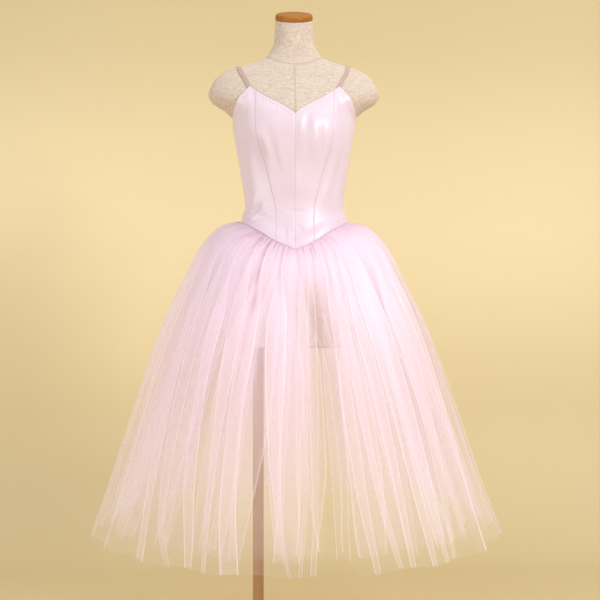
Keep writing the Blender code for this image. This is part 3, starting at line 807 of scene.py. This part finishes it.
def build_strap(name, side, column, form_tree):
    x_at = Smooth(STRAP_ROUTE, column)
    route, outs = [], []
    for degrees in np.linspace(STRAP_ROUTE[0][0], STRAP_ROUTE[-1][0], 110):
        turn = math.radians(degrees)
        start = Vector((side * float(x_at(degrees)), 0.0, STRAP_CENTRE_Z))
        way = Vector((0.0, -math.cos(turn), math.sin(turn)))
        hit, normal, _, _ = form_tree.ray_cast(start + way * 0.4, -way)
        route.append(hit)
        outs.append(normal)
    route, outs = np.array(route), np.array(outs)
    outs = np.array([outs[max(i - 3, 0) : i + 4].mean(axis=0) for i in range(len(outs))])
    outs /= np.linalg.norm(outs, axis=1, keepdims=True)
    ahead = np.gradient(route, axis=0)
    ahead /= np.linalg.norm(ahead, axis=1, keepdims=True)
    aside = np.cross(ahead, outs)
    aside /= np.linalg.norm(aside, axis=1, keepdims=True)
    run = np.concatenate([[0], np.cumsum(np.linalg.norm(np.diff(route, axis=0), axis=1))])
    section = ((-1, 0.1), (-1, 0.6), (-0.94, 1.0), (-0.5, 1.0), (0, 1.0), (0.5, 1.0), (0.94, 1.0))
    section += ((1, 0.6), (1, 0.1), (0.94, 0.0), (0, 0.0), (-0.94, 0.0))
    rings, uv = [], []
    for point, out, across, at in zip(route, outs, aside, run):
        lifts = [out * (STRAP_LIFT + h * STRAP_THICK) for _, h in section]
        rings.append([point + across * w * STRAP_WIDE / 2 + lift for (w, _), lift in zip(section, lifts)])
        uv.append([(w * STRAP_WIDE / 2, at) for w, _ in (*section, section[0])])
    closed = []
    for end in (0, -1):
        centre = np.mean(rings[end], axis=0)
        closed.append([centre + (np.array(place) - centre) * 0.05 for place in rings[end]])
    rings, uv = [closed[0], *rings, closed[1]], [uv[0], *uv, uv[-1]]
    strap = grid_object(name + "_elastic", rings, STRAP_LOOK, wrap=True, cloth_uv=uv)
    settle(strap, "strap", name)


# The skirt


def foot_at(turn):
    """The height of the bodice's foot in the plan direction turn."""
    z = np.full_like(turn, 0.97)
    for _ in range(4):
        depth = np.where(np.cos(turn) > 0, FRONT(z), BACK(z))
        z = foot_height(np.arctan2(np.sin(turn) / HALF(z), np.cos(turn) / depth))
    return z


def waist_radius(turn, z):
    depth = np.where(np.cos(turn) > 0, FRONT(z), BACK(z))
    return 1 / np.hypot(np.sin(turn) / HALF(z), np.cos(turn) / depth)


def fold_depth(turn):
    """How far the cloth falls back from its deepest folds' crests, at the hem."""
    crests = np.array([row[0] for row in FOLDS] + [FOLDS[0][0] + 360])
    depths = np.array([row[1] for row in FOLDS])
    degrees = np.remainder(np.degrees(turn) - crests[0], 360) + crests[0]
    i = np.clip(np.searchsorted(crests, degrees, side="right") - 1, 0, len(depths) - 1)
    share = (degrees - crests[i]) / (crests[i + 1] - crests[i])
    return depths[i] * (1 - np.cos(2 * math.pi * share)) / 2


def skirt_outline(turn, share):
    """Radius and height of the outer layer's crests."""
    ahead = np.maximum(np.cos(turn), 0.0) ** 1.5
    side_r, side_z, front_r, front_z = (curve(share) for curve in PROFILE)
    radius = side_r + ahead * (front_r - side_r) + SKIRT_LEAN * np.sin(turn) * share**2
    height = side_z + ahead * (front_z - side_z)
    _, start_r, start_z, ahead_r, ahead_z = SKIRT_PROFILE[0]
    foot = foot_at(turn)
    own_r = waist_radius(turn, foot) + BODICE_EASE + FOOT_EASE + SEAM_EDGE
    own_z = foot - BELOW_FOOT
    fade = (1 - share) ** 5
    radius = radius + fade * (own_r - start_r - ahead * (ahead_r - start_r))
    height = height + fade * (own_z - start_z - ahead * (ahead_z - start_z))
    return radius, height


def skirt_surface(turn, share, inwards, out):
    """Points on a layer that lies inwards of the outline, moved out by out."""
    radius, height = skirt_outline(turn, share)
    r0, z0 = skirt_outline(turn, np.maximum(share - 0.02, 0.0))
    r1, z1 = skirt_outline(turn, np.minimum(share + 0.02, 1.0))
    length = np.hypot(r1 - r0, z1 - z0)
    normal_r, normal_z = (z0 - z1) / length, (r1 - r0) / length
    radius = radius - fold_depth(turn) * share**1.2
    move = out - inwards
    radius, height = radius + normal_r * move, height + normal_z * move
    around, away = np.sin(turn), -np.cos(turn)
    points = np.stack([radius * around, radius * away, height], axis=-1)
    return points, np.stack([normal_r * around, normal_r * away, normal_z], axis=-1)


# The outer layer's flat-lying folds that show most in front: angle at the waist, half way down and at
# the hem in degrees; half width half way down and at the hem; which side lies on top; depth; share of
# the length where the fold opens
MAIN_FOLDS = (
    (-70, -70, -64, 0.02, 0.012, 1, 0.0045, 0.06),
    (-58, -54.5, -45.5, 0.012, 0.013, 1, 0.005, 0.04),
    (-50, -47.9, -35.6, 0.016, 0.0025, -1, 0.0045, 0.08),
    (-43, -38, -30, 0.016, 0.006, 1, 0.0045, 0.12),
    (-33, -28.8, -24.1, 0.019, 0.003, 1, 0.0055, 0.02),
    (-23, -21.8, -17.5, 0.018, 0.009, -1, 0.005, 0.02),
    (-9, -8.8, -2, 0.015, 0.0022, 1, 0.0045, 0.06), (3, 2.9, 0.4, 0.007, 0.002, -1, 0.0045, 0.05),
    (10, 6.5, 3.4, 0.009, 0.004, 1, 0.004, 0.04),
    (21, 18.2, 18.9, 0.01, 0.0056, -1, 0.0055, 0.03),
    (26, 23, 26.9, 0.012, 0.002, 1, 0.0045, 0.06), (31, 30.8, 31, 0.009, 0.006, -1, 0.0045, 0.1),
    (37, 36.2, 36.3, 0.019, 0.004, -1, 0.005, 0.04), (46, 42.5, 41, 0.02, 0.003, 1, 0.005, 0.05),
    (55, 52, 45.5, 0.01, 0.003, 1, 0.0045, 0.08), (68, 66, 60, 0.028, 0.014, -1, 0.0045, 0.05),
)
# Sheer strips that every layer shares: angle and half width in degrees, share of the net missing
SHEER = (
    (-37, 4, 0.12), (-13.5, 2.8, 0.2), (9.8, 6.6, 0.84), (52, 4, 0.45), (80, 12, 0.45),
    (-84, 12, 0.45),
)
# Deep creases of the outer layer, which also get painted shade: angle and share at the upper end and at
# the lower end, strength
CREVICES = (
    (-27, 0, -21.5, 0.36, 1.25), (-58, 0, -63, 0.05, 0.6), (-44, 0, -47, 0.06, 1),
    (-40.5, 0, -42, 0.05, 0.8), (-34.5, 0, -35, 0.09, 1), (-31, 0, -30, 0.07, 0.7),
    (-22, 0, -19, 0.08, 0.7), (-17, 0.01, -15, 0.12, 0.5), (-6, 0, -5.5, 0.08, 0.5),
    (8, 0, 7.5, 0.1, 0.6), (19, 0, 16, 0.12, 0.7), (28, 0, 24.5, 0.1, 0.5),
    (38, 0, 37, 0.08, 0.4), (-12, 0.01, -9.5, 0.26, 0.7), (-38, 0, -34, 0.14, 0.8),
    (-48, 0, -52, 0.1, 0.8), (15, 0.02, 12, 0.2, 0.7), (24, 0.06, 19.5, 0.26, 0.7),
    (33, 0.02, 30, 0.16, 0.5), (2, 0.04, 3.5, 0.22, 0.5), (110, 0, 108, 0.22, 0.7),
    (136, 0, 138, 0.3, 0.8), (165, 0, 163, 0.2, 0.7), (-168, 0, -170, 0.28, 0.8),
    (-140, 0, -137, 0.18, 0.7), (-112, 0, -115, 0.25, 0.7),
)
EVENT = np.linspace(-1, 1, 19)  # places along one fold's cloth
S_SHAPE, STEP_DOWN = -np.sin(1.5 * math.pi * EVENT), -np.sin(math.pi * EVENT / 2)
EDGE_SHAPE = bump(np.abs(EVENT) - 1 / 3, 0.07)
FOLD_ROOM = 0.47  # most of the way to the next fold that a fold's own cloth takes up
FOLD_OPENS_OVER = 0.34  # share of the length over which a fold grows to its full depth
RUN_COUNTS = (16, 9, 8, 8)  # places along each layer's cloth between two folds
SKIRT_ROWS = 66
SIDE_GAP = 0.018  # how much more the outer layer stands off the others at the sides
FOLD_SHADING = 0.26  # share of the folds' own direction in the net's shading
GATHERS = 112
CREVICE_DEEP, CREVICE_WIDE = 0.004, 0.010
# The net's density: at the waist, and the most that bunching can multiply it by
WAIST_DENSITY, MOST_BUNCHED = 1.6, 6.0
# The gathers' height, depth of the creases between them, brightness of the folds' edges (denser net and a
# painted highlight), and how much density is lost on the way to the hem
OUTER_NET, INNER_NET = (0.0040, 0.0012, 1.0, 0.85), (0.0012, 0.0004, 0.45, 1.3)


def layer_folds(order, count, random):
    """Rows as in MAIN_FOLDS for the whole turn, sorted by their angle half way down."""
    rows = [tuple(row) for row in MAIN_FOLDS] if order == 0 else []
    pitch = 360 / count
    for k in range(count):
        middle = -180 + pitch * (k + 0.5) + random.uniform(-0.3, 0.3) * pitch
        waist, hem = middle + random.uniform(-2.5, 2.5), middle + random.uniform(-2.5, 2.5)
        half_middle, half_hem = random.uniform(0.006, 0.024), random.uniform(0.002, 0.014)
        lean = 1 if random.random() < 0.5 else -1
        depth, opens = random.uniform(0.003, 0.0052), random.uniform(0.0, 0.3)
        if all(abs(middle - row[1]) > pitch * 0.62 for row in rows):
            rows.append((waist, middle, hem, half_middle, half_hem, lean, depth, opens))
    rows.sort(key=lambda row: row[1])
    return np.array(rows)


def fold_angles(folds, share):
    """The folds' angles at a share of the length, kept in order and apart."""
    waist, middle, hem = folds[:, 0], folds[:, 1], folds[:, 2]
    bend = 2 * (waist - 2 * middle + hem)
    slope = -3 * waist + 4 * middle - hem
    angles = np.radians(waist + slope * share + bend * share**2)
    least = math.radians(1.6)
    for _ in range(3):
        gaps = np.diff(np.append(angles, angles[0] + 2 * math.pi))
        short = np.maximum(least - gaps, 0) / 2
        angles = angles - short + np.roll(short, 1)
    return angles


def gathers(random, count, tall):
    """Fine gathers under the waist seam, and the creases between them: rows of angle, half width in
    radians, the ridges' height or the creases' strength (which sets their depth and their painted shade),
    and how far down each runs."""
    turns = (np.arange(count) + random.uniform(-0.35, 0.35, count)) / count * 2 * math.pi - math.pi
    wide = random.uniform(0.009, 0.018, count)
    ridges = turns, wide, tall * random.uniform(0.4, 1.0, count), random.uniform(0.03, 0.16, count)
    tone = random.uniform(0.2, 1.0, count) ** 1.5
    creases = turns + math.pi / count, wide * 0.6, tone, random.uniform(0.03, 0.14, count)
    return ridges, creases


def gather_sum(turn, own, rows):
    at, wide, tall, run = rows
    away = np.remainder(turn[:, None] - at[None, :] + math.pi, 2 * math.pi) - math.pi
    return (tall * np.exp(-own / run) * bump(away, wide)).sum(axis=1)


def off_turn(turn, degrees):
    """Distance in radians from an angle, the short way round."""
    return np.remainder(turn - np.radians(degrees) + math.pi, 2 * math.pi) - math.pi


def crevices(turn, own):
    depth = np.zeros_like(turn)
    for degrees0, own0, degrees1, own1, strength in CREVICES:
        along = (own - own0) / (own1 - own0)
        if -0.1 < along < 1.3:
            ends = float(ease_in((along + 0.1) / 0.2) * ease_in((1.3 - along) / 0.7))
            at = degrees0 + (degrees1 - degrees0) * along
            depth += strength * ends * bump(off_turn(turn, at), CREVICE_WIDE)
    return depth


def sheerness(turn, own):
    missing = np.zeros_like(turn)
    for degrees, half, amount in SHEER:
        missing += amount * bump(off_turn(turn, degrees), math.radians(half))
    return missing * float(ease_in((own - 0.08) / 0.25))


def soften_normals(mesh, outward):
    """Net scatters light evenly, so its shading follows the whole skirt more than each small fold. A
    face that a fold turns over takes the same direction reversed, so that no crest is left dark."""
    own = np.empty(len(mesh.vertices) * 3, np.float32)
    mesh.vertex_normals.foreach_get("vector", own)
    corners = np.empty(len(mesh.loops), np.int32)
    mesh.loops.foreach_get("vertex_index", corners)
    faces = np.empty(len(mesh.polygons) * 3, np.float32)
    mesh.polygon_normals.foreach_get("vector", faces)
    own, outward = own.reshape(-1, 3)[corners], outward[corners]
    faces = np.repeat(faces.reshape(-1, 3), 4, axis=0)
    outward = np.sign((faces * outward).sum(axis=1, keepdims=True) + 0.05) * outward
    own = own - np.minimum((own * outward).sum(axis=1, keepdims=True), 0) * outward
    soft = (1 - FOLD_SHADING) * outward + FOLD_SHADING * own
    soft /= np.linalg.norm(soft, axis=1, keepdims=True)
    mesh.normals_split_custom_set(soft.tolist())


def fold_ring(folds, waver, between, own, share, room_out):
    """One row of a layer: the angles and distances out of the cloth's places, and how near each lies to a
    fold's edge. All folds' places come first, then the places between the folds."""
    half_middle, half_hem, lean, depth, opens = folds.T[3:]
    centre = fold_angles(folds, own)
    centre = centre + 0.006 * own * np.sin(8 * own + waver[0]) + 0.001 * np.sin(23 * own + waver[1])
    radius = float(PROFILE[0](share))
    gap = np.diff(np.append(centre, centre[0] + 2 * math.pi))
    below = ease_in((own - opens) / FOLD_OPENS_OVER + 0.1)
    half = half_middle + (half_hem - half_middle) * np.clip(2 * own - 1, 0, 1)
    half = half * (1 + 0.25 * np.sin(7 * own + waver[2]))
    spare = TULLE_CUT[0] - 2 * math.pi * radius
    half = half * np.clip(spare / 4 / half.sum(), 0.7, 2.5) / radius
    extent = np.minimum(half, FOLD_ROOM * np.minimum(gap, np.roll(gap, 1)))
    strong = below[:, None]
    turn_fold = centre[:, None] + extent[:, None] * (strong * S_SHAPE + (1 - strong) * EVENT)
    tall = lean * depth * room_out
    out_fold = tall[:, None] * strong * STEP_DOWN
    following = np.append(centre[1:], centre[0] + 2 * math.pi)
    start, end = centre + extent, following - np.roll(extent, -1)
    turn_run = start[:, None] + (end - start)[:, None] * between[None, :]
    low, high = -tall * below, np.roll(tall * below, -1)
    out_run = low[:, None] + (high - low)[:, None] * ease_in(between)[None, :]
    pairs = (turn_fold, turn_run), (out_fold, out_run), (strong * EDGE_SHAPE, np.zeros_like(turn_run))
    return (np.concatenate(pair, axis=1).reshape(-1) for pair in pairs)


def build_layer(order, name, length, inwards, count):
    gather_tall, crease_deep, edge_gain, thinning = OUTER_NET if order == 0 else INNER_NET
    random = np.random.default_rng(40 + order)
    folds = layer_folds(order, count, random)
    between = (np.arange(RUN_COUNTS[order]) + 0.5) / RUN_COUNTS[order]
    ridge_rows, crease_rows = gathers(random, GATHERS, gather_tall)
    waver = random.uniform(0, 2 * math.pi, (3, len(folds)))
    stack = LAYER_STACK * order
    points, normals, runs, along = [], [], [], []
    values = {"fold": [], "gather": [], "painted_shade": [], "painted_waist_shade": []}
    for row in range(SKIRT_ROWS):
        own = (row / (SKIRT_ROWS - 1)) ** 1.3
        share = own * length
        room_out = min(1.0, 0.12 + 1.5 * share**0.6)
        turn, out, edge = fold_ring(folds, waver, between, own, share, room_out)
        grown = ease_in(own / 0.02 + 0.2)
        fine = np.minimum(gather_sum(turn, own, crease_rows), 1.0)
        ridge = (gather_sum(turn, own, ridge_rows) - crease_deep * fine) * grown
        ripple = 0.0016 * room_out * np.sin(turn * 37 + 5 * own + order) * np.sin(turn * 11 + order)
        crevice = crevices(turn, own) if order == 0 else np.zeros_like(turn)
        inward = stack + (inwards - stack) * share**0.6
        if order:
            inward = inward + SIDE_GAP * np.sin(turn) ** 4 * float(bump(share - 0.5, 0.3)) * grown
        lift = out + ridge + ripple - CREVICE_DEEP * crevice * grown
        ring, outward = skirt_surface(turn, np.full_like(turn, share), inward, lift)
        path = np.linalg.norm(np.diff(ring, axis=0, append=ring[:1]), axis=1)
        bunched = min(max(1.0, TULLE_CUT[0] / path.sum()), MOST_BUNCHED)
        thinned = WAIST_DENSITY - thinning * own**1.4
        # Painted shade: a darker band half way down the skirt
        painted_mid_shade = 0.10 * math.exp(-(((own - 0.6) / 0.28) ** 2))
        points.append(ring)
        normals.append(outward)
        runs.append(np.concatenate([[0], np.cumsum(path)]) / path.sum() * TULLE_CUT[0])
        along.append(own * TULLE_CUT[1] * length)
        # The folds' edges: the net is denser there, and its colour gets a painted highlight
        values["fold"].append(edge * ease_in(own / 0.25) * edge_gain)
        values["gather"].append(bunched * thinned * (1 - sheerness(turn, own)))
        # Painted shade in the creases between the gathers, in the deep creases and half way down
        values["painted_shade"].append(np.minimum(0.8 * fine + 0.75 * crevice + painted_mid_shade, 0.95))
        # Painted shade: the net is coloured a darker pink near the waist, fading downwards
        values["painted_waist_shade"].append(np.full_like(turn, 0.85 * math.exp(-own / 0.16)))
    # The waist seam: two more rows that tuck the edge in between the form and the bodice's foot
    seam_turn = np.arctan2(points[0][:, 0], -points[0][:, 1])
    foot = foot_at(seam_turn)
    innermost = INNERMOST_EASE + LAYER_STACK * (len(LAYERS) - 1 - order)
    values["fold"].insert(0, values["fold"][0] * 0)
    for rise, ease in ((0.0012, 0.0077 - stack), (SEAM_TUCK, innermost)):
        radius = waist_radius(seam_turn, foot + rise) + ease
        tucked = [radius * np.sin(seam_turn), -radius * np.cos(seam_turn), foot + rise]
        points.insert(0, np.stack(tucked, axis=-1))
        normals.insert(0, normals[0])
        along.insert(0, -rise)
        for rows in values.values():
            rows.insert(0, rows[0])
    del values["fold"][0]
    # A thread keeps its place across the cloth all the way down, so every row shares the mean run
    run = np.mean(runs[SKIRT_ROWS // 2 :], axis=0)
    uv = np.stack(np.broadcast_arrays(run[None, :], np.array(along)[:, None]), axis=-1)
    values = {key: np.array(rows) for key, rows in values.items()}
    layer = grid_object(name + "_net", np.array(points), NET, wrap=True, values=values, cloth_uv=uv)
    soften_normals(layer.data, np.array(normals).reshape(-1, 3))
    settle(layer, "tulle", name)


def build_skirt():
    for order, (name, length, inwards, count) in enumerate(LAYERS):
        build_layer(order, name, length, inwards, count)


# Camera, floor and light

CAMERA_FAR, CAMERA_HIGH = 2.40, 0.82
CAMERA_TURN = math.radians(-1.5)
CAMERA_ASIDE = 0.014
VIEW_WIDTH = 1.398  # metres across the picture at the object's middle
SENSOR = 36.0


def build_camera():
    data = bpy.data.cameras.new("camera")
    data.sensor_width = SENSOR
    data.lens = SENSOR * CAMERA_FAR / VIEW_WIDTH
    camera = add_object("camera", data)
    right = Vector((math.cos(CAMERA_TURN), math.sin(CAMERA_TURN), 0.0))
    back = Vector((math.sin(CAMERA_TURN), -math.cos(CAMERA_TURN), 0.0))
    camera.location = back * CAMERA_FAR + right * CAMERA_ASIDE + Vector((0, 0, CAMERA_HIGH))
    camera.rotation_euler = (math.radians(90), 0.0, CAMERA_TURN)
    bpy.context.scene.camera = camera


def cream_material():
    """Backdrop paper that only shows from its front, so that the object is seen from behind too. Its
    colour holds painted light and shade, from a shaded tan to a lit cream.
    """
    n = Nodes("cream_paper")
    # Painted light and shade: the attribute mixes a shaded tan with a lit cream
    n.paint(n.mix(n.attribute("painted_light"), (0.50, 0.39, 0.195), (0.88, 0.745, 0.465)))
    n.set(Roughness=0.9, Specular_IOR_Level=0.1)
    from_behind = n.add("ShaderNodeNewGeometry").outputs["Backfacing"]
    clear = n.add("ShaderNodeBsdfTransparent").outputs[0]
    n.show(n.mix_shaders(from_behind, n.shader.outputs[0], clear))
    return n.material


def build_stage():
    """A pale cream floor that sweeps up into a wall, with painted light brightest behind the bodice and
    painted shade at the top and on the floor."""
    wall_y, bend, tall, wide, near = 1.15, 0.45, 4.0, 5.0, -4.5
    profile = [(y, 0.0) for y in np.linspace(near, wall_y - bend, 10)]
    for step in range(1, 13):
        turn = math.pi / 2 * step / 12
        profile.append((wall_y - bend + bend * math.sin(turn), bend - bend * math.cos(turn)))
    profile += [(wall_y, z) for z in np.linspace(bend, tall, 24)[1:]]
    columns = np.linspace(-wide, wide, 41)
    rows = [[(x, y, z) for x in columns] for y, z in profile]
    # Painted light: a glow behind the bodice and lighter patches to both sides, then painted shade at the
    # top and on the floor
    across = 0.5 + 0.14 * bump(columns + 0.9, 0.8) + 0.1 * bump(columns - 1.1, 0.5)
    painted_light = []
    for _, z in profile:
        painted_glow, top, floor = bump(z - 1.0, 0.42), ease_in((z - 1.35) / 0.5), ease_in(1 - z / 0.42)
        painted_light.append(across + 0.32 * painted_glow - 0.22 * top - 0.17 * floor)
    grid_object("cream_sweep", rows, cream_material(), values={"painted_light": np.array(painted_light)})


def add_light(name, place, target, size, power, colour=(1, 1, 1)):
    data = bpy.data.lights.new(name, "AREA")
    data.shape, data.size, data.energy, data.color = "DISK", size, power, colour
    light = add_object(name, data)
    light.location = place
    way = Vector(target) - Vector(place)
    light.rotation_euler = way.to_track_quat("-Z", "Y").to_euler()


def build_lights():
    add_light("key", (1.8, -2.1, 2.1), (0, 0, 1.05), 0.9, 53)
    add_light("fill", (-2.7, -1.7, 1.0), (0, 0, 0.6), 1.6, 31)
    add_light("top", (0.3, 0.1, 3.2), (0, 0.1, 0.5), 1.4, 12)
    world = bpy.data.worlds.new("soft_room")
    world.use_nodes = True
    world.node_tree.nodes["Background"].inputs[0].default_value = (1.0, 0.985, 1.0, 1)
    world.node_tree.nodes["Background"].inputs[1].default_value = 0.62
    bpy.context.scene.world = world


build_camera()
build_stage()
build_lights()
form_cover = build_form()
build_neck_cap()
build_stand()
build_bodice()
build_stitches()
surface = form_cover.data
corners = [tuple(face.vertices) for face in surface.polygons]
form_tree = BVHTree.FromPolygons([vertex.co for vertex in surface.vertices], corners)
build_strap("strap_left", 1, 1, form_tree)
build_strap("strap_right", -1, 2, form_tree)
build_skirt()

bpy.context.scene.cycles.transparent_max_bounces = 64
bpy.context.scene.view_settings.view_transform = "Standard"
